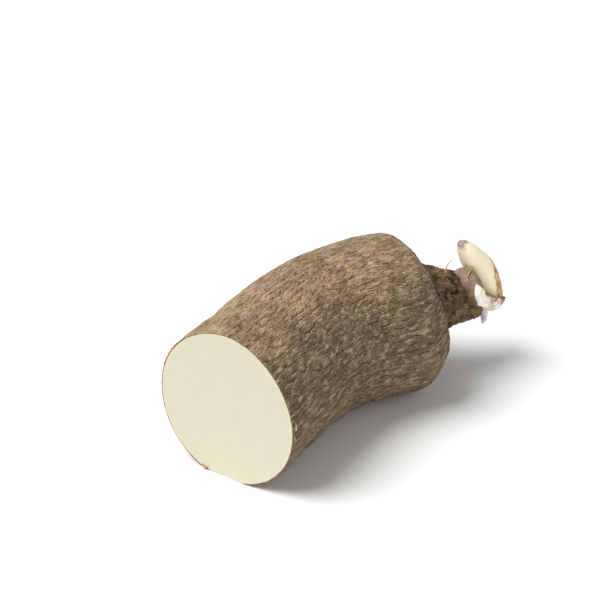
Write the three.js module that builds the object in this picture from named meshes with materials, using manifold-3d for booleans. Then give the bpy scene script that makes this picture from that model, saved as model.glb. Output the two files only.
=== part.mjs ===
// A white yam cut across, lying on its side: the crown half of the tuber, with the young shoot that has
// broken out of its crown.
//
// Frame, in millimetres: the cut face is square to X, and +X runs from it into the tuber. +Z is up.
// The origin is the centre of the whole object's box, at the height of the surface that the tuber lies on.
//
// Every piece is turned as a lathe profile about a straight line, and its points are then carried onto the
// line that the piece really follows. A piece that lies against another is cut by a grown copy of it, which
// leaves the clearance between them. The pieces at the crown are modelled in the crown's own frame, which
// stands on the ground below the knob's end: +X goes on out of the tuber, along its axis, and +Z is up.
import * as THREE from "three";
import { mergeVertices } from "three/addons/utils/BufferGeometryUtils.js";
import Module from "manifold-3d";

const { clamp, degToRad, lerp, smoothstep } = THREE.MathUtils;

// ---- Tuber ----
const BODY_LENGTH = 171; // along the centreline, from the cut face to the shoulder's end
const CUT_RADIUS = 45; // half the tuber's height at the cut face
const WAIST_RADIUS = 44.6; // at its slimmest
const WAIST_SHARE = 0.25; // where that is, as a share of the body's length
const SHOULDER_RADIUS = 48; // at its thickest, just before the shoulder
const SHOULDER_ROUND = 25; // how far the shoulder takes to turn inwards
const SHOULDER_LEAN = 0.22; // how far the crown end leans back, for each millimetre up
const WIDENING = 1.03; // how much wider the tuber is than it is high
const FLAT_DEPTH = 2; // how much of the underside is pressed flat
const BOW = degToRad(8); // how far the tuber's heading leans to its left where it begins
const CROWN_TURN = degToRad(27); // how far its heading has turned to its right at the crown
const TURN_FROM = 45; // where along the body the turn begins
const TURN_TO = 145; // and where it ends

// ---- Crown: the rough woody knob at the tuber's head ----
const NECK_RADIUS = 22; // where the shoulder ends
const CROWN_RADIUS = 18; // half-way along the knob
const CROWN_END_RADIUS = 14.5; // just before its blunt end
const CROWN_LENGTH = 38; // from the shoulder's end to the knob's own end
const CROWN_LIFT = 5.5; // how far the knob stands above the body's centreline
const CROWN_SINK = 5; // how far its end has sunk again

// ---- Shoot, and the pieces at its foot, in the crown's frame ----
const CLEARANCE = 0.3; // between two pieces that lie against each other
const BUD_RADII = new THREE.Vector3(11.5, 12.5, 13.5);
const BUD_CENTRE = new THREE.Vector3(-4.5, -0.5, 51.5);
const SHOOT_RADIUS = 7.3; // at its thickest
const SHOOT_FOOT = 0.62; // its foot's radius, as a share of that
const SHOOT_PATH = [
  [11.6, 0, 36], [11.4, 0, 41], [9.4, 0, 47.5], [5.4, 0, 56],
  [0, 0, 64.5], [-6.5, 0, 73], [-12, 0, 80], [-14.5, 0, 83.5],
];
const COLLAR_RADIUS = 8.2;
const COLLAR_HEIGHT = 7;
const COLLAR_CENTRE = new THREE.Vector3(7.6, 0, 33.5); // the middle of its underside
const COLLAR_LEAN = degToRad(24); // outwards, away from the bud
const SHEATH_THICKNESS = 1;
const SHEATH_LENGTH = 22; // up the shoot's outer side
const SHEATH_CENTRE = new THREE.Vector3(15.4, 0, 48.3);
const SHEATH_LEAN = degToRad(-24); // the shoot's own lean there, back over the bud
const FLAP_SIZE = new THREE.Vector3(1.4, 3.2, 9); // thickness, width, length
const FLAP_CENTRE = new THREE.Vector3(-9.7, -3, 64);
const FLAP_LEAN = degToRad(-18);
const ROOT_RADIUS = 2.6;
const ROOT_PATH = [[6, -1, 34], [6.4, -1.3, 28.5], [5.8, -1, 24.5]];

// ---- Dry fibres that stand up from the skin ----
const FIBRE_RADIUS = 0.45; // at the root
const CROWN_FIBRE_PATH = [[-24.5, -3, 67], [-23.8, -3.4, 71.4], [-22.2, -4, 74.4], [-20, -4.6, 75.8]];
// From the rim of the cut face, where its right-hand side is steepest: [into the tuber, outwards, up].
const RIM_FIBRE_PATH = [[3, -0.8, 3], [1.6, 0.6, 5], [1, 1.1, 7], [0.8, 0.6, 9.5]];

// ---- Faceting ----
const TUBER_SIDES = 44;
const BODY_RINGS = 26;
const ROUND_RINGS = 7;
const KNOB_RINGS = 9;
const PIECE_SIDES = 20;
const SHOOT_RINGS = 18;
const FIBRE_SIDES = 6;
const FIBRE_RINGS = 7;

const UP = new THREE.Vector3(0, 0, 1);
const wasm = await Module();
wasm.setup();

// A closed geometry as a solid that can be cut and joined.
function solid(geometry) {
  const bare = geometry.clone().deleteAttribute("normal").deleteAttribute("uv");
  const merged = mergeVertices(bare, 1e-4);
  return new wasm.Manifold(new wasm.Mesh({
    numProp: 3,
    vertProperties: new Float32Array(merged.getAttribute("position").array),
    triVerts: new Uint32Array(merged.index.array),
  }));
}

// The surface of a solid, as a geometry.
function surface(made) {
  const mesh = made.getMesh();
  const geometry = new THREE.BufferGeometry();
  geometry.setAttribute("position", new THREE.BufferAttribute(mesh.vertProperties, 3));
  geometry.setIndex(new THREE.BufferAttribute(mesh.triVerts, 1));
  geometry.computeVertexNormals();
  return geometry;
}

// A profile of (radius, along) points that begins and ends on the axis, moved outwards by `grow`.
function grown(profile, grow) {
  return profile.map((point, i) => {
    if (i === 0) return new THREE.Vector2(0, point.y - grow);
    if (i === profile.length - 1) return new THREE.Vector2(0, point.y + grow);
    const along = profile[i + 1].clone().sub(profile[i - 1]).normalize();
    const corner = new THREE.Vector2(along.y, -along.x);
    return new THREE.Vector2(point.x + grow * corner.x, point.y + grow * corner.y);
  });
}

// A turned solid whose points are moved by `place(right, along, up)`, which returns where each one goes.
function turned(profile, sides, place) {
  const geometry = new THREE.LatheGeometry(profile, sides);
  const position = geometry.getAttribute("position");
  for (let i = 0; i < position.count; i++) {
    const p = place(position.getX(i), position.getY(i), position.getZ(i));
    position.setXYZ(i, p.x, p.y, p.z);
  }
  return solid(geometry);
}

// ---- The tuber ----

// Half the tuber's height at a distance along the body.
function bodyRadius(along) {
  const waistAt = WAIST_SHARE * BODY_LENGTH;
  return along < waistAt
    ? lerp(CUT_RADIUS, WAIST_RADIUS, smoothstep(along, 0, waistAt))
    : lerp(WAIST_RADIUS, SHOULDER_RADIUS, smoothstep(along, waistAt, BODY_LENGTH - SHOULDER_ROUND));
}

// The way the tuber runs at a distance along it. It starts square to the cut face.
function heading(along) {
  const angle = lerp(BOW, -CROWN_TURN, smoothstep(along, TURN_FROM, TURN_TO)) * smoothstep(along, -10, 10);
  return new THREE.Vector3(Math.cos(angle), Math.sin(angle), 0);
}

// The tuber's centreline on the ground. It goes on past the shoulder for the crown to follow.
function centreline() {
  const steps = 40;
  const step = (BODY_LENGTH + CROWN_LENGTH) / steps;
  const points = [new THREE.Vector3()];
  for (let k = 0; k < steps; k++) {
    points.push(points[k].clone().addScaledVector(heading((k + 0.5) * step), step));
  }
  return new THREE.CatmullRomCurve3(points, false, "centripetal");
}

// The tuber's outline from the middle of the cut face to the knob's end.
function tuberProfile() {
  const shoulderAt = BODY_LENGTH - SHOULDER_ROUND;
  const points = [new THREE.Vector2(0, 0)];
  for (let k = 0; k <= BODY_RINGS; k++) {
    const along = (shoulderAt * k) / BODY_RINGS;
    points.push(new THREE.Vector2(bodyRadius(along), along));
  }
  for (let k = 1; k < ROUND_RINGS; k++) {
    const a = (0.5 * Math.PI * k) / ROUND_RINGS;
    const radius = NECK_RADIUS + (SHOULDER_RADIUS - NECK_RADIUS) * Math.cos(a);
    points.push(new THREE.Vector2(radius, shoulderAt + SHOULDER_ROUND * Math.sin(a)));
  }
  const knob = new THREE.SplineCurve([
    new THREE.Vector2(NECK_RADIUS, BODY_LENGTH),
    new THREE.Vector2(CROWN_RADIUS, BODY_LENGTH + 0.45 * CROWN_LENGTH),
    new THREE.Vector2(CROWN_END_RADIUS, BODY_LENGTH + 0.85 * CROWN_LENGTH),
    new THREE.Vector2(0.6 * CROWN_END_RADIUS, BODY_LENGTH + 0.97 * CROWN_LENGTH),
    new THREE.Vector2(0, BODY_LENGTH + CROWN_LENGTH),
  ]);
  return [...points, ...knob.getPoints(KNOB_RINGS)];
}

// The height of the tuber's axis above the ground at a distance along it.
function axisHeight(along) {
  const lift = CROWN_LIFT * smoothstep(along, BODY_LENGTH - SHOULDER_ROUND, BODY_LENGTH);
  const sink = CROWN_SINK * smoothstep(along, BODY_LENGTH, BODY_LENGTH + CROWN_LENGTH);
  return bodyRadius(along) - FLAT_DEPTH + lift - sink;
}

function tuberSolid(line, grow = 0) {
  const total = line.getLength();
  return turned(grown(tuberProfile(), grow), TUBER_SIDES, (right, along, up) => {
    const side = new THREE.Vector3().crossVectors(heading(along), UP);
    side.lerp(new THREE.Vector3(0, -1, 0), 1 - smoothstep(along, 0, CUT_RADIUS)).normalize();
    const lean = SHOULDER_LEAN * up * smoothstep(along, 0.4 * BODY_LENGTH, BODY_LENGTH);
    const overrun = along - clamp(along, 0, total);
    const p = line.getPointAt(clamp(along / total, 0, 1))
      .addScaledVector(side, WIDENING * right)
      .addScaledVector(heading(along), overrun - lean);
    p.z = Math.max(axisHeight(along) + up, -grow);
    return p;
  });
}

// ---- The pieces at the crown, in the crown's frame ----

// A round horn along a path: `radiusAt` gives its radius at a share of the path's length.
function hornSolid(path, radiusAt, rings, sides, grow = 0) {
  const curve = new THREE.CatmullRomCurve3(path.map((p) => new THREE.Vector3(...p)));
  const length = curve.getLength();
  const profile = [new THREE.Vector2(0, 0)];
  for (let k = 0; k < rings; k++) profile.push(new THREE.Vector2(radiusAt(k / rings), (length * k) / rings));
  profile.push(new THREE.Vector2(0, length));
  return turned(grown(profile, grow), sides, (right, along, up) => {
    const share = clamp(along / length, 0, 1);
    const forward = curve.getTangentAt(share);
    const across = new THREE.Vector3(0, 1, 0).addScaledVector(forward, -forward.y).normalize();
    return curve.getPointAt(share)
      .addScaledVector(new THREE.Vector3().crossVectors(forward, across), right)
      .addScaledVector(across, up)
      .addScaledVector(forward, along - share * length);
  });
}

// The shoot swells from its narrow foot and closes in a blunt point.
function shootSolid(grow = 0) {
  const radiusAt = (share) => {
    const foot = lerp(SHOOT_FOOT, 1, smoothstep(share, 0, 0.35));
    const closing = Math.max(0, share - 0.45) / 0.56;
    return SHOOT_RADIUS * foot * Math.sqrt(1 - closing ** 2.2);
  };
  return hornSolid(SHOOT_PATH, radiusAt, SHOOT_RINGS, PIECE_SIDES, grow);
}

function budSolid(grow = 0) {
  const ball = new THREE.SphereGeometry(1, PIECE_SIDES, 12);
  ball.scale(BUD_RADII.x + grow, BUD_RADII.y + grow, BUD_RADII.z + grow);
  return solid(ball.translate(...BUD_CENTRE));
}

// The torn cup of pale flesh that the shoot stands in.
function collarSolid(grow = 0) {
  const profile = [
    [0, 0], [0.7 * COLLAR_RADIUS, 0], [0.93 * COLLAR_RADIUS, 0.3 * COLLAR_HEIGHT],
    [COLLAR_RADIUS, COLLAR_HEIGHT], [0, COLLAR_HEIGHT],
  ].map(([radius, height]) => new THREE.Vector2(radius, height));
  const cup = new THREE.LatheGeometry(grown(profile, grow), PIECE_SIDES).rotateX(Math.PI / 2);
  return solid(cup.rotateY(COLLAR_LEAN).translate(...COLLAR_CENTRE));
}

// The brown sheath against the shoot's outer side.
function sheathSolid() {
  const region = new THREE.BoxGeometry(8, 12, SHEATH_LENGTH).rotateY(SHEATH_LEAN).translate(...SHEATH_CENTRE);
  return shootSolid(CLEARANCE + SHEATH_THICKNESS).subtract(shootSolid(CLEARANCE)).intersect(solid(region));
}

function flapSolid() {
  const leaf = new THREE.SphereGeometry(0.5, 12, 8).scale(...FLAP_SIZE);
  return solid(leaf.rotateY(FLAP_LEAN).translate(...FLAP_CENTRE));
}

function rootSolid() {
  return hornSolid(ROOT_PATH, (share) => ROOT_RADIUS * Math.sqrt(1.02 - share), 6, 10);
}

// The rim fibre's path in the tuber's frame, which the size of the cut face sets.
function rimFibrePath() {
  return RIM_FIBRE_PATH.map(([into, out, up]) => [into, -WIDENING * CUT_RADIUS - out, axisHeight(0) + up]);
}

function fibreSolid(path) {
  return hornSolid(path, (share) => FIBRE_RADIUS * (1 - 0.6 * share), FIBRE_RINGS, FIBRE_SIDES);
}

// Adds a solid, cut by the grown neighbours that it lies against, as a named mesh.
function addPiece(group, name, made, neighbours, color, roughness) {
  const cut = neighbours.reduce((rest, neighbour) => rest.subtract(neighbour), made);
  const material = new THREE.MeshStandardMaterial({ color, roughness, metalness: 0 });
  const piece = new THREE.Mesh(surface(cut), material);
  piece.name = name;
  group.add(piece);
}

const line = centreline();
const crownFrame = new THREE.Matrix4()
  .makeRotationZ(-CROWN_TURN)
  .setPosition(line.getPointAt(1));
const tuberRoom = tuberSolid(line, CLEARANCE);
const tuberRoomAtCrown = tuberRoom.transform(crownFrame.clone().invert().elements);
const shootRoom = shootSolid(CLEARANCE);
const budRoom = budSolid(CLEARANCE);
const collarRoom = collarSolid(CLEARANCE);

const crown = new THREE.Group();
addPiece(crown, "shoot_bud", budSolid(), [tuberRoomAtCrown, shootRoom], 0x7d6353, 0.7);
addPiece(crown, "shoot", shootSolid(), [tuberRoomAtCrown], 0xece3b8, 0.5);
addPiece(crown, "bud_collar", collarSolid(), [tuberRoomAtCrown, budRoom, shootRoom], 0xe6ddc8, 0.6);
addPiece(crown, "shoot_sheath", sheathSolid(), [collarRoom, budRoom], 0xa98652, 0.6);
addPiece(crown, "torn_scale", flapSolid(), [tuberRoomAtCrown, budRoom, shootRoom], 0xb09a52, 0.6);
addPiece(crown, "root_tip", rootSolid(), [tuberRoomAtCrown, collarRoom, budRoom], 0xa99fa6, 0.6);
addPiece(crown, "fibre_crown", fibreSolid(CROWN_FIBRE_PATH), [tuberRoomAtCrown], 0xc9b48e, 0.8);
crown.applyMatrix4(crownFrame);

const yam = new THREE.Group();
addPiece(yam, "tuber", tuberSolid(line), [], 0x8f7658, 0.9);
addPiece(yam, "fibre_rim", fibreSolid(rimFibrePath()), [tuberRoom], 0xc9b48e, 0.8);
yam.add(crown);

const box = new THREE.Box3().setFromObject(yam, true);
const centre = box.getCenter(new THREE.Vector3());
yam.position.set(-centre.x, -centre.y, -box.min.z);
export default yam;
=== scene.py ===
"""Crown half of a white yam, cut across and lying on its side, with a young shoot at its crown."""
import logging
import math
from dataclasses import dataclass

import bpy
import numpy as np
from mathutils import Matrix, Vector, noise


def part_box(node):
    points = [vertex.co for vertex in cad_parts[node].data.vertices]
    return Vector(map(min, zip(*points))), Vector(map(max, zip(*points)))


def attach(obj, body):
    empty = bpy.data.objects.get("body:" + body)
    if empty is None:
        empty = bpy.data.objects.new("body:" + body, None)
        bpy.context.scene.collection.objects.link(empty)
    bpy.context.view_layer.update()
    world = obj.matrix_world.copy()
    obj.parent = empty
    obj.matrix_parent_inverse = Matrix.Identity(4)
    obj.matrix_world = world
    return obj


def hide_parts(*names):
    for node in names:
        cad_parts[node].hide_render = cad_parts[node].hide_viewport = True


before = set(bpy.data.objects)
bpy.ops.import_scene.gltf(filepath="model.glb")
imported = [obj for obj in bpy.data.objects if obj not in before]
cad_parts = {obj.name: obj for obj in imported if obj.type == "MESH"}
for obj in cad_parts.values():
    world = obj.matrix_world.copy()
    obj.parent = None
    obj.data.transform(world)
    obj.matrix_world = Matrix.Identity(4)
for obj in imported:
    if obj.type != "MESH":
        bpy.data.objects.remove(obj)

logging.basicConfig(level=logging.INFO, format="%(message)s")
log = logging.getLogger("yam")

MM = 0.001
Point = tuple[float, float, float]
Node = bpy.types.Node
Socket = bpy.types.NodeSocket
Source = Node | Socket
Tree = bpy.types.NodeTree


# ---------------------------------------------------------------- colours, nodes and selection


def srgb(code: str) -> tuple[float, float, float, float]:
    """Turns an sRGB hex code into a linear colour.

    Args:
        code: The colour, such as "#a08060".

    Returns:
        Linear red, green, blue and an alpha of one.
    """
    parts = [int(code[i:i + 2], 16) / 255 for i in (1, 3, 5)]
    linear = [c / 12.92 if c <= 0.04045 else ((c + 0.055) / 1.055) ** 2.4 for c in parts]
    return (*linear, 1.0)


def fill(tree: Tree, node: Node, inputs: dict[str | int, object]) -> None:
    """Sets or links a node's inputs.

    Args:
        tree: The node tree.
        node: The node.
        inputs: A value, or a node or socket to link, for each input, by name or place.
            A node is linked by its first output in use.
    """
    for key, value in inputs.items():
        if isinstance(value, Node):
            value = next(output for output in value.outputs if output.enabled)
        if isinstance(value, Socket):
            tree.links.new(value, node.inputs[key])
        else:
            node.inputs[key].default_value = value


def add(tree: Tree, kind: str, inputs: dict[str | int, object] | None = None, **settings: object) -> Node:
    """Adds a node to a tree with its settings, values and links.

    Args:
        tree: The node tree.
        kind: The node's type.
        inputs: What its inputs are given, as in `fill`.
        **settings: The node's own properties.

    Returns:
        The new node.
    """
    node = tree.nodes.new(kind)
    for name, value in settings.items():
        setattr(node, name, value)
    fill(tree, node, inputs or {})
    return node


def weighted(tree: Tree, start: float, *parts: tuple[Source, Source | float]) -> Node:
    """Adds up patterns, each times its weight.

    Args:
        tree: The node tree.
        start: The number that they are added to.
        *parts: The patterns and their weights.

    Returns:
        The sum.
    """
    total = start
    for part, weight in parts:
        total = add(tree, "ShaderNodeMath", {0: part, 1: weight, 2: total}, operation="MULTIPLY_ADD")
    return total


def gated(tree: Tree, amount: Source | float, pattern: Source, low: float, high: float,
          least: float = 0.0) -> Node:
    """Lets an amount through where a pattern is strong.

    Args:
        tree: The node tree.
        amount: The amount.
        pattern: The pattern.
        low: The pattern's value where the least comes through. It may be above `high`.
        high: The pattern's value where all comes through.
        least: The least share that comes through.

    Returns:
        What comes through.
    """
    share = add(tree, "ShaderNodeMapRange", {"Value": pattern, 1: low, 2: high, 3: least},
                interpolation_type="SMOOTHSTEP")
    return add(tree, "ShaderNodeMath", {0: amount, 1: share}, operation="MULTIPLY")


def lay(tree: Tree, under: Source | str, over: Source | str, where: Source, strength: float = 1.0) -> Node:
    """Lays a colour over another.

    Args:
        tree: The node tree.
        under: The first colour, or its hex code.
        over: The second colour, or its hex code.
        where: How far the second covers the first, from 0 to 1.
        strength: How far it does so at most.

    Returns:
        The mixed colour.
    """
    under, over = (srgb(colour) if isinstance(colour, str) else colour for colour in (under, over))
    share = add(tree, "ShaderNodeMath", {0: where, 1: strength}, operation="MULTIPLY")
    return add(tree, "ShaderNodeMix", {0: share, 6: under, 7: over}, data_type="RGBA")


def blotches(tree: Tree, place: Source, size: float, stretch: Point = (1, 1, 1), detail: float = 2.0,
             rough: float = 0.5) -> Node:
    """Adds a cloudy pattern of a real size.

    Args:
        tree: The node tree.
        place: Coordinates in millimetres.
        size: How far apart its blotches are, in millimetres.
        stretch: A factor for each coordinate. One below 1 draws the blotches out that way.
        detail: How many finer layers it has.
        rough: How strong those are.

    Returns:
        The pattern, about 0.3 to 0.7.
    """
    stretched = add(tree, "ShaderNodeVectorMath", {0: place, 1: stretch}, operation="MULTIPLY")
    inputs = {"Vector": stretched, "Scale": 1 / size, "Detail": detail, "Roughness": rough}
    return add(tree, "ShaderNodeTexNoise", inputs)


def new_material(name: str) -> tuple[bpy.types.Material, Tree, Node]:
    """Makes a material with one principled shader.

    Args:
        name: The material's name.

    Returns:
        The material, its tree and its shader.
    """
    material = bpy.data.materials.new(name)
    material.use_nodes = True
    return material, material.node_tree, material.node_tree.nodes["Principled BSDF"]


def place_in_mm(tree: Tree) -> Node:
    """Gives a material the object's own coordinates, in millimetres."""
    place = add(tree, "ShaderNodeTexCoord").outputs["Object"]
    return add(tree, "ShaderNodeVectorMath", {0: place, 1: (1 / MM,) * 3}, operation="MULTIPLY")


def emboss(tree: Tree, shader: Node, height: Source, strength: float, depth: float) -> None:
    """Gives a shader the relief that is too fine for the mesh.

    Args:
        tree: The material's tree.
        shader: The shader.
        height: The relief's pattern.
        strength: How strongly it shows, from 0 to 1.
        depth: Its depth, in millimetres.
    """
    bump = add(tree, "ShaderNodeBump", {"Strength": strength, "Distance": depth * MM, "Height": height})
    fill(tree, shader, {"Normal": bump})


def deselect() -> None:
    """Leaves edit mode and deselects everything."""
    if bpy.context.object and bpy.context.object.mode != "OBJECT":
        bpy.ops.object.mode_set(mode="OBJECT")
    bpy.ops.object.select_all(action="DESELECT")


def activate(piece: bpy.types.Object) -> None:
    """Makes one object the only selected and active one.

    Args:
        piece: The object.
    """
    deselect()
    piece.select_set(True)
    bpy.context.view_layer.objects.active = piece


def apply_modifier(piece: bpy.types.Object, kind: str, **settings: object) -> None:
    """Adds a modifier to a piece and applies it.

    Args:
        piece: The piece.
        kind: The modifier's type.
        **settings: The modifier's own properties.
    """
    activate(piece)
    modifier = piece.modifiers.new(kind.title(), kind)
    for name, value in settings.items():
        setattr(modifier, name, value)
    bpy.ops.object.modifier_apply(modifier=modifier.name)


def coordinates(mesh: bpy.types.Mesh) -> np.ndarray:
    """Gives the places of a mesh's vertices.

    Args:
        mesh: The mesh.

    Returns:
        One row for each vertex.
    """
    flat = np.empty(len(mesh.vertices) * 3)
    mesh.vertices.foreach_get("co", flat)
    return flat.reshape(-1, 3)


def move_vertices(mesh: bpy.types.Mesh, places: np.ndarray) -> None:
    """Puts a mesh's vertices at new places, one row each."""
    mesh.vertices.foreach_set("co", places.ravel())
    mesh.update()


def store(mesh: bpy.types.Mesh, name: str, values: np.ndarray) -> None:
    """Keeps a number or a vector for each vertex as an attribute.

    Args:
        mesh: The mesh.
        name: The attribute's name.
        values: One number or one row of three for each vertex.
    """
    vector = values.ndim == 2
    layer = mesh.attributes.new(name, "FLOAT_VECTOR" if vector else "FLOAT", "POINT")
    layer.data.foreach_set("vector" if vector else "value", values.astype(np.float32).ravel())


def join(pieces: list[bpy.types.Object], name: str) -> bpy.types.Object:
    """Joins pieces into the first of them.

    Args:
        pieces: The pieces.
        name: The joined piece's name.

    Returns:
        The joined piece.
    """
    deselect()
    for piece in pieces:
        piece.select_set(True)
    bpy.context.view_layer.objects.active = pieces[0]
    bpy.ops.object.join()
    pieces[0].name = pieces[0].data.name = name
    return pieces[0]


def smoothstep(x: np.ndarray | float, low: float, high: float) -> np.ndarray:
    """Eases from nought at `low` to one at `high`."""
    t = np.clip((np.asarray(x, float) - low) / (high - low), 0.0, 1.0)
    return t * t * (3 - 2 * t)


def through(stations: np.ndarray, values: np.ndarray, fine: np.ndarray) -> np.ndarray:
    """Passes a smooth curve through values.

    Args:
        stations: Where the values stand, rising.
        values: The values.
        fine: Where the curve is read.

    Returns:
        The curve's values.
    """
    slopes = np.gradient(values, stations)
    k = np.clip(np.searchsorted(stations, fine, side="right") - 1, 0, len(stations) - 2)
    step = stations[k + 1] - stations[k]
    t = (fine - stations[k]) / step
    return ((2 * t**3 - 3 * t**2 + 1) * values[k] + (t**3 - 2 * t**2 + t) * step * slopes[k]
            + (3 * t**2 - 2 * t**3) * values[k + 1] + (t**3 - t**2) * step * slopes[k + 1])


def finish_piece(piece: bpy.types.Object, material: bpy.types.Material | None,
                 nodes: list[str], angle: float = 60.0) -> None:
    """Dresses and smooths a finished piece and ties it to the frame.

    Args:
        piece: The piece, with its place in its mesh.
        material: Its finish, or None where it is dressed already.
        nodes: The CAD nodes that it stands for.
        angle: The sharpest angle that is shaded smooth, in degrees.
    """
    if material:
        piece.data.materials.append(material)
    activate(piece)
    bpy.ops.object.transform_apply(location=True, rotation=True, scale=True)
    bpy.ops.object.shade_smooth_by_angle(angle=math.radians(angle))
    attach(piece, "root")
    if nodes:
        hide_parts(*nodes)
    piece.data.calc_loop_triangles()
    log.info("%s: %d triangles", piece.name, len(piece.data.loop_triangles))


# ---------------------------------------------------------------- where things are


@dataclass(frozen=True)
class Centreline:
    """The tuber's centreline on the ground, in millimetres. It starts square to the cut face."""

    body_length: float = 171.0
    crown_length: float = 38.0
    bow: float = math.radians(8)
    turn: float = math.radians(27)
    turn_from: float = 45.0
    turn_to: float = 145.0
    side_shift: float = 0.843

    @property
    def total(self) -> float:
        """Its length, with the crown's."""
        return self.body_length + self.crown_length

    def angle(self, along: np.ndarray | float) -> np.ndarray:
        """Gives the heading's angle to X at a distance along the line."""
        turned = self.bow - (self.bow + self.turn) * smoothstep(along, self.turn_from, self.turn_to)
        return turned * smoothstep(along, -10, 10)

    def at(self, along: np.ndarray | float) -> tuple[np.ndarray, np.ndarray]:
        """Gives the line's place.

        Args:
            along: Distances along it. Past its ends it goes straight on.

        Returns:
            The places' X and Y.
        """
        step = self.total / 200
        angles = self.angle((np.arange(200) + 0.5) * step)
        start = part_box("tuber")[0][0] / MM
        xs = start + np.concatenate([[0], np.cumsum(np.cos(angles)) * step])
        ys = self.side_shift + np.concatenate([[0], np.cumsum(np.sin(angles)) * step])
        stations = np.arange(201) * step
        over = np.asarray(along) - np.clip(along, 0, self.total)
        heading = self.angle(along)
        return (np.interp(along, stations, xs) + over * np.cos(heading),
                np.interp(along, stations, ys) + over * np.sin(heading))

    def crown_frame(self) -> Matrix:
        """Gives the crown's frame, in millimetres: below the knob's end, with +X out of the tuber."""
        x, y = self.at(self.total)
        return Matrix.Translation((float(x), float(y), 0)) @ Matrix.Rotation(-self.turn, 4, "Z")


LINE = Centreline()


def carried(places: np.ndarray | tuple[Point, ...], turn: Matrix | None = None) -> np.ndarray:
    """Carries places of the crown's frame, in millimetres, into the object's frame, in metres.

    Args:
        places: The places, one row each.
        turn: A matrix that puts them into the crown's frame first.

    Returns:
        The carried places, one row each.
    """
    matrix = LINE.crown_frame() @ (turn or Matrix.Identity(4))
    return np.array([tuple((matrix @ Vector(place)) * MM) for place in places])


# ---------------------------------------------------------------- the pattern of the skin


def shingles(tree: Tree, grain: Source, count: int, sway_mm: Point, sway: float) -> Node:
    """Adds rows of overlapping plates round the tuber, whose edges wander along it.

    Args:
        tree: A material's or a modifier's tree.
        grain: Coordinates on the straightened tuber, in millimetres, X along it.
        count: How many plates lie side by side round the tuber.
        sway_mm: How far apart the edges' bends are, along and across.
        sway: How far the edges wander, in plates.

    Returns:
        Where a point lies on its plate, from 0 at its raised edge to 1 where it goes under the next.
    """
    parts = add(tree, "ShaderNodeSeparateXYZ", {0: grain})
    turn = add(tree, "ShaderNodeMath", {0: parts.outputs[1], 1: parts.outputs[2]}, operation="ARCTAN2")
    wander = blotches(tree, grain, 1.0, tuple(1 / s for s in sway_mm), 4.0, 0.62)
    row = weighted(tree, 0.0, (turn, -count / (2 * math.pi)), (wander, sway))
    return add(tree, "ShaderNodeMath", {0: row}, operation="FRACT")


def fissures(tree: Tree, grain: Source) -> tuple[Node, Node, Node]:
    """Adds the corky skin's pattern: plates that lie along the tuber, parted by wavy broken cracks.

    The same nodes carve the mesh and colour the skin, so that the two agree.

    Args:
        tree: A material's or a modifier's tree.
        grain: Coordinates on the straightened tuber, in millimetres, X along it.

    Returns:
        How deep a crack is, how high a plate stands, and how far the scurf's finer cracks show,
        each from 0 to 1.
    """
    # Plates are about 3.6 mm wide, and their cracks run 5 to 14 mm before they break off.
    plate = shingles(tree, grain, 78, (8.5, 14.0, 14.0), 2.3)
    gate = gated(tree, 1.0, blotches(tree, grain, 3.6, (0.5, 1, 1), 3.0, 0.6), 0.42, 0.56)
    # Some stretches of the skin, about 25 mm across, are smoother than the rest.
    gate = gated(tree, gate, blotches(tree, grain, 25.0), 0.4, 0.58, 0.7)
    crack = gated(tree, gated(tree, gate, plate, 0.78, 0.95), plate, 1.0, 0.97, 0.4)
    flat = weighted(tree, 1.0, (plate, -1.0))
    height = add(tree, "ShaderNodeMath", {0: flat, 1: gate}, operation="MULTIPLY")
    # Scurf between the main cracks is about 1.5 mm wide.
    scurf = shingles(tree, grain, 187, (4.0, 7.0, 7.0), 2.4)
    fine_gate = gated(tree, 1.0, blotches(tree, grain, 2.6, (0.6, 1, 1), 1.0), 0.42, 0.6)
    return crack, height, gated(tree, fine_gate, scurf, 0.6, 0.95)


def knob_hollows(tree: Tree, grain: Source) -> Node:
    """Adds the woody crown's hollows: ragged creases that run mostly round it, about 5 mm apart.

    Args:
        tree: A material's or a modifier's tree.
        grain: Coordinates on the straightened tuber, in millimetres.

    Returns:
        How deep a hollow is, from 0 to 1.
    """
    wander = blotches(tree, grain, 4.0, rough=0.6).outputs["Color"]
    swayed = add(tree, "ShaderNodeVectorMath", {0: wander, 1: (7.0, 7.0, 7.0), 2: grain},
                 operation="MULTIPLY_ADD")
    return gated(tree, 1.0, blotches(tree, swayed, 4.4, (1.1, 0.8, 0.8), 3.0, 0.65), 0.5, 0.34)


# ---------------------------------------------------------------- finishes


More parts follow.
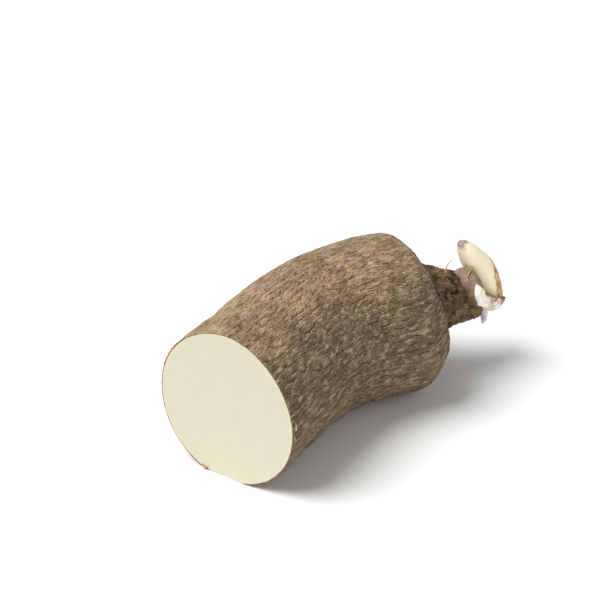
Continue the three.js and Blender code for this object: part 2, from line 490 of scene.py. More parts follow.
@dataclass(frozen=True)
class YamSkin:
    """Dry corky yam skin, grown: matte tan plates, dark cracks, a darker woody crown, and painted shade on
    its right side and in its neck groove.
    """

    tan: str = "#c0a17c"
    brown: str = "#997c5f"
    olive: str = "#897a5e"
    rose: str = "#a68a70"
    lit_edge: str = "#cfb594"
    scurf: str = "#5b4630"
    crack: str = "#4a3624"
    # Painted shade, laid on the skin's right side, which faces away from the key light.
    painted_side_shade: str = "#66563f"
    speck: str = "#c9bda6"
    woody: str = "#6c5239"
    woody_pale: str = "#9d7f5f"
    # Laid in the knob's hollows, and as painted shade in the neck groove.
    crease_dark: str = "#2b1e13"

    def build(self) -> bpy.types.Material:
        """Makes the material.

        Returns:
            The material.
        """
        material, tree, shader = new_material("corky yam skin")
        grain, straight = (add(tree, "ShaderNodeAttribute", attribute_name=name).outputs["Vector"]
                           for name in ("grain", "straight"))
        crown, groove = (add(tree, "ShaderNodeAttribute", attribute_name=name).outputs["Fac"]
                         for name in ("crown", "groove"))
        crack, plate, fine = fissures(tree, grain)
        colour = self.mottled(tree, grain)
        colour = lay(tree, colour, self.lit_edge, gated(tree, 0.5, plate, 0.7, 1.0))
        colour = lay(tree, colour, self.scurf, fine, 0.55)
        colour = lay(tree, colour, self.crack, crack, 0.85)
        colour = lay(tree, colour, self.knob(tree, straight), crown)
        # Painted shade: the neck groove is darkened, most on its upper right.
        colour = lay(tree, colour, self.crease_dark, groove, 0.75)
        fill(tree, shader, {"Base Color": colour, "Roughness": 0.86, "Specular IOR Level": 0.28})
        fibres = blotches(tree, grain, 1.2, (0.25, 1, 1), 3.0, 0.65)
        grit = blotches(tree, grain, 2.4, (0.7, 1, 1), 4.0, 0.7)
        height = weighted(tree, 0.0, (plate, 0.9), (crack, -1.0), (fine, -0.5), (fibres, 1.2), (grit, 2.2))
        emboss(tree, shader, height, 1.0, 0.8)
        return material

    def mottled(self, tree: Tree, grain: Source) -> Node:
        """Adds the skin's own colour between its cracks, and painted shade towards its right side.

        Args:
            tree: The material's tree.
            grain: Coordinates on the straightened tuber.

        Returns:
            The colour.
        """
        parts = add(tree, "ShaderNodeSeparateXYZ", {0: grain})
        along, across = parts.outputs[0], parts.outputs[1]
        green = blotches(tree, grain, 15.0, (0.7, 1.1, 0.9), 3.0)
        rosy = blotches(tree, grain, 12.0, (0.8, 0.9, 1.3))
        mixed = blotches(tree, grain, 5.0, (0.6, 1, 1), 5.0, 0.72)
        streaks = blotches(tree, grain, 2.0, (0.3, 1, 1), 4.0, 0.7)
        specks = blotches(tree, grain, 3.2, detail=1.0)
        colour = lay(tree, self.tan, self.brown, gated(tree, 1.0, blotches(tree, grain, 22.0), 0.36, 0.64))
        # Each layer is a colour, its strength, its pattern, and where in that it begins and is full.
        for over, strength, pattern, low, high in (
            (self.olive, 0.6, green, 0.48, 0.66),
            (self.rose, 0.6, rosy, 0.5, 0.68),
            (self.olive, 0.3, along, 50.0, 170.0),
            # Painted shade: the skin darkens towards its right side, away from the key light.
            (self.painted_side_shade, 0.75, across, 0.0, -44.0),
            (self.lit_edge, 0.36, mixed, 0.5, 0.66),
            (self.scurf, 0.42, mixed, 0.5, 0.34),
            (self.lit_edge, 0.8, streaks, 0.5, 0.7),
            (self.scurf, 0.6, streaks, 0.5, 0.3),
            (self.speck, 0.35, specks, 0.7, 0.76),
        ):
            colour = lay(tree, colour, over, gated(tree, strength, pattern, low, high))
        return colour

    def knob(self, tree: Tree, grain: Source) -> Node:
        """Adds the woody crown's colour.

        Args:
            tree: The material's tree.
            grain: Coordinates on the straightened tuber.

        Returns:
            The colour.
        """
        patches = gated(tree, 1.0, blotches(tree, grain, 7.0, detail=4.0, rough=0.65), 0.38, 0.64)
        colour = lay(tree, self.woody, self.woody_pale, patches)
        return lay(tree, colour, self.crease_dark, knob_hollows(tree, grain), 0.85)


@dataclass(frozen=True)
class YamFlesh:
    """Raw white yam flesh, cut with a knife: cream, smooth and moist, with a thin cortex at its edge."""

    flesh: str = "#c8c4ad"
    pale: str = "#cecab6"
    dot: str = "#b9ae90"
    cortex: str = "#d9c9a8"
    skin: str = "#5a4430"

    def build(self) -> bpy.types.Material:
        """Makes the material.

        Returns:
            The material.
        """
        material, tree, shader = new_material("cut white yam flesh")
        place = place_in_mm(tree)
        depth = add(tree, "ShaderNodeAttribute", attribute_name="depth").outputs["Fac"]
        edged = weighted(tree, 0.0, (depth, 1.0), (blotches(tree, place, 3.0, detail=3.0), -0.9))
        soft = gated(tree, 0.3, blotches(tree, place, 9.0, detail=3.0), 0.35, 0.65)
        colour = lay(tree, self.flesh, self.pale, soft)
        # The flesh's vessels show as dots about 7 mm apart.
        dots = add(tree, "ShaderNodeTexVoronoi", {"Vector": place, "Scale": 1 / 7.0})
        colour = lay(tree, colour, self.dot, gated(tree, 0.3, dots, 0.075, 0.03))
        colour = lay(tree, colour, self.cortex, gated(tree, 0.65, edged, 2.4, 0.5))
        colour = lay(tree, colour, self.skin, gated(tree, 1.0, edged, 0.6, 0.0))
        fill(tree, shader, {"Base Color": colour, "Roughness": 0.48, "Subsurface Weight": 0.12,
                            "Subsurface Radius": (1.0, 0.8, 0.5), "Subsurface Scale": 0.002})
        emboss(tree, shader, blotches(tree, place, 2.0, (1, 0.25, 1)), 0.25, 0.2)
        return material


@dataclass(frozen=True)
class PlantTissue:
    """Young plant tissue, grown: smooth and satin, with streaks along it and coloured marks."""

    name: str
    pale: str
    dark: str
    mark: str
    streak_mm: float = 1.6
    mark_mm: float = 5.0
    marked: float = 0.5
    roughness: float = 0.5
    glow: float = 0.1
    relief_mm: float = 0.15

    def build(self) -> bpy.types.Material:
        """Makes the material.

        Returns:
            The material.
        """
        material, tree, shader = new_material(self.name)
        place = place_in_mm(tree)
        streaks = blotches(tree, place, self.streak_mm, (1, 1, 0.22), 3.0)
        colour = lay(tree, self.pale, self.dark, gated(tree, 1.0, streaks, 0.32, 0.68))
        marks = blotches(tree, place, self.mark_mm, detail=3.0, rough=0.6)
        colour = lay(tree, colour, self.mark, gated(tree, self.marked, marks, 0.5, 0.62))
        fill(tree, shader, {"Base Color": colour, "Roughness": self.roughness,
                            "Subsurface Weight": self.glow, "Subsurface Scale": 0.002})
        emboss(tree, shader, streaks, 0.6, self.relief_mm)
        return material


# Dry and matt, straw with long brown streaks and rust where it has dried most.
BUD_SHEATH = PlantTissue("papery bud sheath", "#e6cb98", "#b8935a", "#a8631f", streak_mm=1.2, mark_mm=5.5,
                         marked=0.8, roughness=0.6, glow=0.05, relief_mm=0.3)
# Moist and translucent, lilac with white marks.
YOUNG_ROOT = PlantTissue("young root tip", "#f1e8ec", "#cdc1cb", "#fbf6f6", streak_mm=1.2, mark_mm=3.0,
                         marked=0.6, roughness=0.4, glow=0.2)
# Dry and dull, olive going to brown.
BUD_SCALE = PlantTissue("dried bud scale", "#b5a268", "#86733f", "#6d5a2c", streak_mm=1.0, mark_mm=3.0,
                        marked=0.5, roughness=0.6, glow=0.05)
# Dry and matt, straw.
DRY_FIBRE = PlantTissue("dry yam fibre", "#dcc9a0", "#b89a6c", "#8a6a45", roughness=0.7, glow=0.05)
# Dry and matt, orange tan.
DRY_PEEL = PlantTissue("dry yam peel", "#c69a68", "#a07548", "#6b4b30", streak_mm=1.0, mark_mm=2.0,
                       roughness=0.7, glow=0.05, relief_mm=0.2)
# Dry and matt, soil brown.
HAIR_ROOT = PlantTissue("dry hair root", "#a48a66", "#6b5238", "#4a3826", roughness=0.75, glow=0.0)


@dataclass(frozen=True)
class BudSkin:
    """The bud's skin, grown and stretched: satin mauve brown with fine streaks, woody by the knob."""

    mauve: str = "#9f806c"
    deep: str = "#7d6355"
    patch: str = "#806655"
    wood: str = "#6f563d"

    def build(self) -> bpy.types.Material:
        """Makes the material.

        Returns:
            The material.
        """
        material, tree, shader = new_material("stretched bud skin")
        place = place_in_mm(tree)
        streaks = blotches(tree, place, 1.3, (1, 1, 0.2), 3.0, 0.6)
        patches = blotches(tree, place, 6.0, detail=3.0, rough=0.6)
        colour = lay(tree, self.mauve, self.deep, gated(tree, 1.0, streaks, 0.34, 0.66))
        colour = lay(tree, colour, self.patch, gated(tree, 0.5, patches, 0.45, 0.7))
        away = add(tree, "ShaderNodeAttribute", attribute_name="away").outputs["Fac"]
        ragged = weighted(tree, -0.8, (away, 1.0), (patches, 1.6))
        colour = lay(tree, colour, self.wood, gated(tree, 1.0, ragged, -0.1, 0.5))
        fill(tree, shader, {"Base Color": colour, "Roughness": 0.6})
        emboss(tree, shader, weighted(tree, 0.0, (streaks, 1.0), (patches, 1.2)), 0.8, 0.4)
        return material


@dataclass(frozen=True)
class TornFlesh:
    """Torn bud flesh, fresh: white and moist, with pink and red-brown marks where it has begun to dry, and
    red-brown painted shade on the cup's inner wall.
    """

    white: str = "#fffaf0"
    cream: str = "#f6ead4"
    pink: str = "#c98d7b"
    # Red-brown: drying marks at the rim, and painted shade on the cup's inner wall.
    rust_and_gap_shade: str = "#8a4a30"

    def build(self) -> bpy.types.Material:
        """Makes the material.

        Returns:
            The material.
        """
        material, tree, shader = new_material("torn bud flesh")
        place = place_in_mm(tree)
        clean, rim, inside = (add(tree, "ShaderNodeAttribute", attribute_name=name).outputs["Fac"]
                              for name in ("clean", "rim", "inside"))
        soft = blotches(tree, place, 4.0, detail=3.0)
        colour = lay(tree, self.white, self.cream, gated(tree, 1.0, soft, 0.35, 0.65))
        marked = weighted(tree, 1.0, (clean, -1.0))
        ragged = weighted(tree, -0.8, (rim, 1.0), (blotches(tree, place, 3.2, rough=0.6), 1.6))
        colour = lay(tree, colour, self.pink, gated(tree, marked, ragged, 0.5, 0.75), 0.6)
        colour = lay(tree, colour, self.rust_and_gap_shade, gated(tree, marked, ragged, 0.72, 0.88), 0.9)
        # Painted shade: the cup's inner wall, in the gap round the shoot's foot, is darkened red-brown.
        colour = lay(tree, colour, self.rust_and_gap_shade, inside, 0.75)
        fill(tree, shader, {"Base Color": colour, "Roughness": 0.45, "Subsurface Weight": 0.15,
                            "Subsurface Scale": 0.002})
        emboss(tree, shader, soft, 0.5, 0.3)
        return material


@dataclass(frozen=True)
class ShootFlesh:
    """A young yam shoot, grown in the dark: cream and satin, purple at its tip."""

    cream: str = "#fff0cc"
    green: str = "#fcebb2"
    streak: str = "#fffae8"
    purple: str = "#6f5270"
    stain: str = "#8d7437"

    def build(self) -> bpy.types.Material:
        """Makes the material.

        Returns:
            The material.
        """
        material, tree, shader = new_material("cream yam shoot")
        place = place_in_mm(tree)
        share, inner = (add(tree, "ShaderNodeAttribute", attribute_name=name).outputs["Fac"]
                        for name in ("share", "inner"))
        fuzzy = weighted(tree, -0.09, (share, 1.0), (blotches(tree, place, 4.0, detail=3.0), 0.18))
        colour = lay(tree, self.green, self.cream, gated(tree, 1.0, fuzzy, 0.0, 0.55))
        streaks = blotches(tree, place, 1.5, (1, 1, 0.2), 3.0)
        colour = lay(tree, colour, self.streak, gated(tree, 0.35, streaks, 0.4, 0.7))
        stain = gated(tree, gated(tree, 1.0, inner, 0.8, 0.98), share, 0.62, 0.5)
        colour = lay(tree, colour, self.stain, stain, 0.7)
        colour = lay(tree, colour, self.purple, gated(tree, 0.85, fuzzy, 0.93, 1.01))
        fill(tree, shader, {"Base Color": colour, "Roughness": 0.42, "Subsurface Weight": 0.1,
                            "Subsurface Radius": (1.0, 0.75, 0.4), "Subsurface Scale": 0.003})
        emboss(tree, shader, streaks, 0.4, 0.2)
        return material


# ---------------------------------------------------------------- the tuber


@dataclass
class Tuber:
    """The cut tuber: skin, flesh and woody crown, which are grown as one. Sizes in millimetres."""

    cut_radius: float = 45.0
    waist_radius: float = 44.6
    waist_at: float = 42.75
    shoulder_radius: float = 48.0
    shoulder_round: float = 25.0
    shoulder_lean: float = 0.22
    widening: float = 1.03
    flat_depth: float = 2.0
    flat_edge: float = 1.2
    settled: float = 0.15
    neck_radius: float = 22.0
    crown_radius: float = 18.0
    crown_end_radius: float = 14.5
    crown_lift: float = 5.5
    crown_sink: float = 5.0
    ring_spacing: float = 0.78
    sides: int = 316
    crowding: float = 0.3
    wave_height: float = 3.4
    swell_height: float = 1.5
    plate_height: float = 0.45
    crack_depth: float = 0.45
    scurf_depth: float = 0.25
    knob_roughness: float = 5.0
    hollow_depth: float = 1.8
    groove_depth: float = 2.2
    top_swelling: float = 2.4
    left_hollow: float = 1.3
    neck_swelling: float = 3.5
    cut_margin: float = 0.08

    def body_radius(self, along: np.ndarray) -> np.ndarray:
        """Gives half the tuber's height along its body.

        Args:
            along: Distances from the cut face.

        Returns:
            Its half height at each distance.
        """
        slim = self.cut_radius + (self.waist_radius - self.cut_radius) * smoothstep(along, 0, self.waist_at)
        shoulder_at = LINE.body_length - self.shoulder_round
        wide = (self.shoulder_radius - self.waist_radius) * smoothstep(along, self.waist_at, shoulder_at)
        return slim + wide

    def skin_profile(self) -> np.ndarray:
        """Gives the skin's outline from the cut face to the knob's end.

        Returns:
            Rows of (along, radius), evenly spaced along the outline.
        """
        shoulder_at = LINE.body_length - self.shoulder_round
        body = np.linspace(0.4, shoulder_at, 200)
        turn = np.linspace(0, np.pi / 2, 60)[1:]
        rounded = self.neck_radius + (self.shoulder_radius - self.neck_radius) * np.cos(turn)
        stations = np.array([0, 0.45, 0.85, 0.97, 1.0]) * LINE.crown_length
        radii = [self.neck_radius, self.crown_radius, self.crown_end_radius, 0.6 * self.crown_end_radius, 0]
        share = np.linspace(0, 1, 5)
        fine = np.linspace(0, 1, 90)[1:]
        knob = [through(share, stations, fine) + LINE.body_length, through(share, np.array(radii), fine)]
        along = np.concatenate([body, shoulder_at + self.shoulder_round * np.sin(turn), knob[0]])
        radius = np.concatenate([self.body_radius(body), rounded, knob[1]])
        return self.evened(np.stack([along, np.maximum(radius, 0)], axis=1))

    def evened(self, outline: np.ndarray) -> np.ndarray:
        """Spaces an outline's points evenly and rounds the groove at its neck.

        Args:
            outline: Rows of (along, radius).

        Returns:
            The evenly spaced rows.
        """
        run = np.concatenate([[0], np.cumsum(np.hypot(*np.diff(outline, axis=0).T))])
        count = int(run[-1] / self.ring_spacing)
        even = np.linspace(0, run[-1], count)
        spaced = np.stack([np.interp(even, run, outline[:, k]) for k in (0, 1)], axis=1)
        for _ in range(12):
            softer = spaced.copy()
            softer[1:-1] = (spaced[:-2] + 2 * spaced[1:-1] + spaced[2:]) / 4
            near = np.exp(-((spaced[:, :1] - LINE.body_length) / 6) ** 2)
            spaced = spaced + (softer - spaced) * near
        return spaced

    def profile(self) -> list[Point]:
        """Gives the whole outline to spin, in the XZ plane.

        Returns:
            Its points, from the middle of the cut face to the knob's end.
        """
        # The cut face's rings lie closer together towards its rim, where its colour changes.
        rings = np.array([0, 12, 24, 33, 39, 42, 43.4, 44.2, 44.75]) / 45
        face = [(0.0, 0.0, float(ring) * self.cut_radius) for ring in rings]
        return face + [(float(a), 0.0, float(r)) for a, r in self.skin_profile()]

    def spin(self) -> bpy.types.Object:
        """Turns the outline about the straight axis.

        Returns:
            The straight tuber, in millimetres.
        """
        points = self.profile()
        mesh = bpy.data.meshes.new("yam_tuber")
        mesh.from_pydata(points, [(i, i + 1) for i in range(len(points) - 1)], [])
        piece = bpy.data.objects.new("yam_tuber", mesh)
        bpy.context.collection.objects.link(piece)
        activate(piece)
        bpy.ops.object.mode_set(mode="EDIT")
        bpy.ops.mesh.select_all(action="SELECT")
        bpy.ops.mesh.spin(steps=self.sides, angle=2 * math.pi, center=(0, 0, 0), axis=(1, 0, 0))
        bpy.ops.mesh.select_all(action="SELECT")
        bpy.ops.mesh.remove_doubles(threshold=0.002)
        bpy.ops.mesh.normals_make_consistent(inside=False)
        bpy.ops.object.mode_set(mode="OBJECT")
        return piece

    def axis_height(self, along: np.ndarray) -> np.ndarray:
        """Gives the height of the tuber's axis above the ground.

        Args:
            along: Distances from the cut face.

        Returns:
            The axis's height at each distance.
        """
        lift = self.crown_lift * smoothstep(along, LINE.body_length - self.shoulder_round, LINE.body_length)
        sink = self.crown_sink * smoothstep(along, LINE.body_length, LINE.total)
        return self.body_radius(along) - self.flat_depth + lift - sink

    def place(self, along: np.ndarray, left: np.ndarray, up: np.ndarray) -> np.ndarray:
        """Carries points of the straight tuber onto its centreline and presses it flat where it lies.

        Args:
            along: Their distances along the straight axis.
            left: How far they are to its left.
            up: How far they are above it.

        Returns:
            Their places in the object's frame, in metres.
        """
        heading = LINE.angle(along) * smoothstep(along, 0, self.cut_radius)
        lean = self.shoulder_lean * up * smoothstep(along, 0.4 * LINE.body_length, LINE.body_length)
        x, y = LINE.at(along)
        ahead = LINE.angle(along)
        x = x - self.widening * left * np.sin(heading) - lean * np.cos(ahead)
        y = y + self.widening * left * np.cos(heading) - lean * np.sin(ahead)
        z = self.axis_height(along) + up
        z = 0.5 * (z + np.sqrt(z * z + self.flat_edge)) - self.settled
        return np.stack([x, y, z], axis=1) * MM

    def carry(self, piece: bpy.types.Object) -> None:
        """Bends the straight tuber into its shape, and keeps what its finish needs as attributes.

        Args:
            piece: The straight tuber, in millimetres.
        """
        straight = coordinates(piece.data)
        along = straight[:, 0]
        radius = np.hypot(straight[:, 1], straight[:, 2])
        angle = np.arctan2(straight[:, 1], straight[:, 2])
        angle = angle - self.crowding * np.sin(angle)
        swelling = (self.top_swelling * np.exp(-((angle + 0.1) / 0.6) ** 2)
                    - self.left_hollow * np.exp(-((angle - 1.65) / 0.6) ** 2))
        rim = 1 + swelling / self.cut_radius * (1 - smoothstep(along, 0, 70))
        by_neck = np.exp(-(angle / 0.9) ** 2 - ((along - LINE.body_length + 3) / 8) ** 2)
        rim += self.neck_swelling / np.maximum(radius, 12) * by_neck
        left, up = radius * rim * np.sin(angle), radius * rim * np.cos(angle)
        run = along + 0.8 * np.maximum(0, self.shoulder_radius - radius) * (along > LINE.body_length / 2)
        wavy = along + 1.5 * np.sin(3 * angle) + 1.0 * np.sin(7 * angle + 1)
        store(piece.data, "straight", np.stack([along, left, up], axis=1))
        across = self.cut_radius * np.sin(angle), self.cut_radius * np.cos(angle)
        store(piece.data, "grain", np.stack([run, *across], axis=1))
        store(piece.data, "depth", self.cut_radius - radius)
        # The groove is carved into the mesh, and darkened in the skin's colour as painted shade, most on
        # its upper right.
        deep = 0.35 + 0.65 * np.exp(-((angle + 0.9) / 0.7) ** 2)
        store(piece.data, "groove", deep * np.exp(-((wavy - LINE.body_length - 1.0) / 3.0) ** 2))
        store(piece.data, "crown", smoothstep(wavy, LINE.body_length - 6, LINE.body_length + 4))
        move_vertices(piece.data, self.place(along, left, up))

    def carve(self, piece: bpy.types.Object) -> None:
        """Carves the skin's plates and cracks and the crown's lumps into the mesh.

        Args:
            piece: The bent tuber.
        """
        tree = bpy.data.node_groups.new("carving", "GeometryNodeTree")
        tree.interface.new_socket("Geometry", in_out="INPUT", socket_type="NodeSocketGeometry")
        tree.interface.new_socket("Geometry", in_out="OUTPUT", socket_type="NodeSocketGeometry")
        source = add(tree, "NodeGroupInput")
        normal = add(tree, "GeometryNodeInputNormal")
        raised = {0: normal, "Scale": self.relief(tree)}
        offset = add(tree, "ShaderNodeVectorMath", raised, operation="SCALE")
        # The cut face stays flat: nothing moves along the axis at its edge.
        straight = add(tree, "GeometryNodeInputNamedAttribute", {"Name": "straight"},
                       data_type="FLOAT_VECTOR")
        along = add(tree, "ShaderNodeSeparateXYZ", {0: straight})
        flat = add(tree, "ShaderNodeCombineXYZ", {0: gated(tree, 1.0, along, 0.0, 2.5), 1: 1.0, 2: 1.0})
        held = add(tree, "ShaderNodeVectorMath", {0: offset, 1: flat}, operation="MULTIPLY")
        moved = add(tree, "GeometryNodeSetPosition", {"Geometry": source, "Offset": held})
        add(tree, "NodeGroupOutput", {0: moved})
        apply_modifier(piece, "NODES", node_group=tree)
        places = coordinates(piece.data)
        places[:, 2] = np.maximum(places[:, 2], 0.0)
        places[:, 0] = np.maximum(places[:, 0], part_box("tuber")[0][0])
        move_vertices(piece.data, places)

    def relief(self, tree: Tree) -> Node:
        """Adds the height of the skin over the smooth tuber.

        Args:
            tree: The modifier's tree.

        Returns:
            The height, in metres.
        """
        kind = "GeometryNodeInputNamedAttribute"
        grain, straight = (add(tree, kind, {"Name": name}, data_type="FLOAT_VECTOR")
                           for name in ("grain", "straight"))
        crown, groove = (add(tree, kind, {"Name": name}, data_type="FLOAT") for name in ("crown", "groove"))
        crack, plate, fine = fissures(tree, grain)
        broad = blotches(tree, straight, 30.0, detail=1.0)
        swell = blotches(tree, grain, 7.0, (0.5, 1, 1))
        middle = -0.5 * (self.wave_height + self.swell_height)
        waves = weighted(tree, middle, (broad, self.wave_height), (swell, self.swell_height))
        waves = gated(tree, waves, add(tree, "ShaderNodeSeparateXYZ", {0: straight}), 0.0, 22.0, 0.2)
        skin = weighted(tree, 0.0, (waves, 1.0), (plate, self.plate_height), (crack, -self.crack_depth),
                        (fine, -self.scurf_depth))
        rough = blotches(tree, straight, 8.0, detail=4.0, rough=0.6)
        knob = weighted(tree, -0.5 * self.knob_roughness, (rough, self.knob_roughness),
                        (knob_hollows(tree, straight), -self.hollow_depth))
        wood = weighted(tree, 0.0, (knob, 1.0), (skin, -1.0))
        height = weighted(tree, 0.0, (skin, 1.0), (wood, crown), (groove, -self.groove_depth))
        return add(tree, "ShaderNodeMath", {0: height, 1: MM}, operation="MULTIPLY")

    def dress(self, piece: bpy.types.Object) -> None:
        """Gives the skin and the cut face their finishes.

        Args:
            piece: The carved tuber.
        """
        piece.data.materials.clear()
        piece.data.materials.append(YamSkin().build())
        piece.data.materials.append(YamFlesh().build())
        cut_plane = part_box("tuber")[0][0] + self.cut_margin * MM
        for face in piece.data.polygons:
            face.material_index = int(face.center.x < cut_plane and face.normal.x < -0.9)

    def build(self) -> bpy.types.Object:
        """Makes the finished tuber.

        Returns:
            The tuber.
        """
        piece = self.spin()
        self.carry(piece)
        self.carve(piece)
        self.dress(piece)
        finish_piece(piece, None, ["tuber"], 50.0)
        return piece


# ---------------------------------------------------------------- the shoot and the pieces at its foot


def swept(name: str, points: np.ndarray, radii: tuple[float, ...], sides: int = 6,
          steps: int = 6) -> bpy.types.Object:
    """Makes a round horn along a smooth path.

    Args:
        name: The piece's name.
        points: The path, in metres, one row each.
        radii: The horn's radius at each point, in millimetres.
        sides: A quarter of the steps round it.
        steps: The steps between two points.

    Returns:
        The horn as a closed mesh.
    """
    curve = bpy.data.curves.new(name, "CURVE")
    curve.dimensions = "3D"
    curve.bevel_depth = 1.0
    curve.bevel_resolution = sides
    curve.use_fill_caps = True
    curve.resolution_u = steps
    spline = curve.splines.new("BEZIER")
    spline.bezier_points.add(len(points) - 1)
    for knot, point, radius in zip(spline.bezier_points, points, radii):
        knot.co, knot.radius = point, radius * MM
        knot.handle_left_type = knot.handle_right_type = "AUTO"
    piece = bpy.data.objects.new(name, curve)
    bpy.context.collection.objects.link(piece)
    activate(piece)
    bpy.ops.object.convert(target="MESH")
    piece = bpy.context.object
    bpy.ops.object.mode_set(mode="EDIT")
    bpy.ops.mesh.select_all(action="SELECT")
    bpy.ops.mesh.remove_doubles(threshold=0.00001)
    bpy.ops.mesh.normals_make_consistent(inside=False)
    bpy.ops.object.mode_set(mode="OBJECT")
    return piece


def roughen(piece: bpy.types.Object, size_mm: float, height_mm: float, seed: float = 0.0) -> None:
    """Makes a piece's surface uneven.

    Args:
        piece: The piece.
        size_mm: How far apart its bumps are.
        height_mm: How far they stand out or in.
        seed: Where in the noise it is read.
    """
    mesh = piece.data
    for vertex in mesh.vertices:
        lift = noise.noise(vertex.co / (size_mm * MM) + Vector((seed, seed, seed)))
        vertex.co += vertex.normal * lift * height_mm * MM
    mesh.update()


def leaf(name: str, left: tuple[Point, ...], right: tuple[Point, ...], thickness: float,
         bulge: float, over: bpy.types.Object, clear: float) -> bpy.types.Object:
    """Makes a torn flap between two edges, pressed onto the piece that it lies on.

    Args:
        name: The piece's name.
        left: One edge from the root to the tip, in the crown's frame, in millimetres.
        right: The other edge.
        thickness: The flap's thickness behind its face, in millimetres.
        bulge: How far its middle stands out, in millimetres.
        over: The piece that it lies on.
        clear: How far its face stays off that piece, in millimetres.

    Returns:
        The flap as a closed mesh.
    """
    deselect()
    bpy.ops.mesh.primitive_grid_add(x_subdivisions=12, y_subdivisions=20, size=1)
    piece = bpy.context.object
    piece.name = piece.data.name = name
    flat = coordinates(piece.data)
    across, along = flat[:, 0] + 0.5, flat[:, 1] + 0.5
    stations = np.linspace(0, 1, len(left))
    edges = [np.stack([through(stations, np.array(edge)[:, k], along) for k in range(3)], axis=1)
             for edge in (left, right)]
    places = edges[0] + (edges[1] - edges[0]) * across[:, None]
    facing = np.cross(np.array(right[0]) - np.array(left[0]), np.array(left[-1]) - np.array(left[0]))
    facing = facing / np.linalg.norm(facing)
    places += facing * (bulge * np.sin(math.pi * across) * np.sin(math.pi * (0.15 + 0.85 * along)))[:, None]
    move_vertices(piece.data, carried(places))
    apply_modifier(piece, "SHRINKWRAP", target=over, wrap_mode="OUTSIDE", offset=clear * MM)
    apply_modifier(piece, "SMOOTH", factor=0.5, iterations=2)
    apply_modifier(piece, "SOLIDIFY", thickness=thickness * MM, offset=-1.0)
    apply_modifier(piece, "SUBSURF", levels=1, render_levels=1)
    return piece


@dataclass
class Shoot:
    """The young shoot: a blunt cream spear that curls up and back over the bud. Sizes in millimetres."""

    radius: float = 8.1
    foot: float = 0.77
    path: tuple[Point, ...] = (
        (11.0, 0, 40), (11.6, 0, 43), (10.3, 0, 47.5), (6.5, 0, 56),
        (1.2, 0, 64.5), (-5.3, 0, 73), (-10.7, 0, 80), (-13.3, 0, 83.5),
    )

    def radius_at(self, share: float) -> float:
        """Gives its radius at one place.

        Args:
            share: The place, as a share of its length.

        Returns:
            The radius there.
        """
        foot = self.foot + (1 - self.foot) * float(smoothstep(share, 0, 0.55))
        closing = max(0.0, share - 0.45) / 0.56
        return self.radius * foot * math.sqrt(max(0.0, 1 - closing**2.2))

    def point(self, shares: np.ndarray) -> np.ndarray:
        """Gives places on its path in the crown's frame.

        Args:
            shares: The places, as shares of its length.

        Returns:
            One row for each place.
        """
        knots = np.array(self.path)
        run = np.concatenate([[0], np.cumsum(np.linalg.norm(np.diff(knots, axis=0), axis=1))])
        return np.stack([through(run, knots[:, k], np.asarray(shares) * run[-1]) for k in range(3)], axis=1)

    def build(self) -> bpy.types.Object:
        """Makes the finished shoot.

        Returns:
            The shoot.
        """
        shares = 1 - (1 - np.linspace(0, 1, 30)) ** 1.6
        path = carried(self.point(shares))
        piece = swept("yam_shoot", path, tuple(max(self.radius_at(s), 0.05) for s in shares), 10, 4)
        self.mark(piece, path)
        roughen(piece, 9.0, 0.5)
        finish_piece(piece, ShootFlesh().build(), ["shoot"], 80.0)
        return piece

    def mark(self, piece: bpy.types.Object, line: np.ndarray) -> None:
        """Keeps how far along the shoot and how far round to its inner side each vertex lies.

        Args:
            piece: The shoot.
            line: Its path, in metres, one row each.
        """
        run = np.concatenate([[0], np.cumsum(np.linalg.norm(np.diff(line, axis=0), axis=1))])
        places = coordinates(piece.data)
        nearest = np.linalg.norm(places[:, None, :] - line[None], axis=2).argmin(axis=1)
        store(piece.data, "share", run[nearest] / run[-1])
        inward = np.array([-math.cos(LINE.turn), math.sin(LINE.turn), -0.3])
        away = places - line[nearest]
        away /= np.maximum(np.linalg.norm(away, axis=1, keepdims=True), 1e-9)
        store(piece.data, "inner", away @ (inward / np.linalg.norm(inward)))


@dataclass
class Sheath:
    """The papery brown sheath round the outer side of the shoot's foot. Sizes in millimetres."""

    shoot: Shoot
    gap: float = 0.45
    thickness: float = 0.4
    start: float = 0.04
    top: float = 0.56
    back: float = -2.2
    rows: int = 40
    columns: int = 40

    def build(self) -> bpy.types.Object:
        """Makes the finished sheath.

        Returns:
            The sheath.
        """
        deselect()
        bpy.ops.mesh.primitive_grid_add(x_subdivisions=self.columns, y_subdivisions=self.rows, size=1)
        piece = bpy.context.object
        piece.name = piece.data.name = "yam_shoot_sheath"
        flat = coordinates(piece.data)
        around, share = flat[:, 0] + 0.5, flat[:, 1] + 0.5
        ragged = np.array([noise.noise(Vector((a * 6, s * 2, 0.5))) for a, s in zip(around, share)])
        share = self.start + share * (self.top + 0.05 * ragged - 0.22 * (1 - np.sin(math.pi * around)))
        torn = np.array([noise.noise(Vector((s * 14, 3.1, 0.5))) for s in share])
        front = np.radians(76 - 16 * share / self.top + 16 * torn)
        angle = self.back + (front - self.back) * around
        radius = np.array([self.shoot.radius_at(s) for s in share]) + self.gap
        centre = self.shoot.point(share)
        ahead = self.shoot.point(share + 0.01) - centre
        ahead /= np.linalg.norm(ahead, axis=1, keepdims=True)
        outward = np.stack([ahead[:, 2], 0 * angle, -ahead[:, 0]], axis=1)
        near_side = np.array([0.0, -1.0, 0.0])
        round_it = outward * np.cos(angle)[:, None] + near_side * np.sin(angle)[:, None]
        move_vertices(piece.data, carried(centre + round_it * radius[:, None]))
        roughen(piece, 2.5, 0.35, 2.0)
        apply_modifier(piece, "SOLIDIFY", thickness=self.thickness * MM, offset=0.0)
        finish_piece(piece, BUD_SHEATH.build(), ["shoot_sheath"], 60.0)
        return piece


